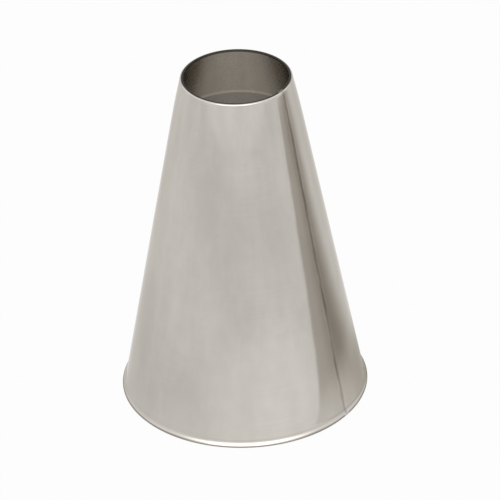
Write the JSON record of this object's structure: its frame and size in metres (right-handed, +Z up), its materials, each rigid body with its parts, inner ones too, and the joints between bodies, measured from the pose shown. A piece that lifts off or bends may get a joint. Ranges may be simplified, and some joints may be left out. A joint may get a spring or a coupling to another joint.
{
  "type": "piping nozzle",
  "caption": "Plain round piping nozzle: a tapered tube of thin polished stainless sheet with a welded side seam, a small flare round its wide base and a round mouth on top.",
  "frame": {"origin": "centre of the base, in the plane that the flare's foot stands on", "axes": "+Z up along the cone's axis, towards the mouth; -Y is the front of the picture's view"},
  "size_m": [0.0306, 0.0306, 0.0437],
  "materials": {
    "polished_sheet": "satin polish, lines running round the cone",
    "weld_metal": "planished and brushed along the seam"
  },
  "bodies": {
    "root": {"rolled_cone": "polished_sheet", "seam_weld": "weld_metal"}
  },
  "joints": []
}
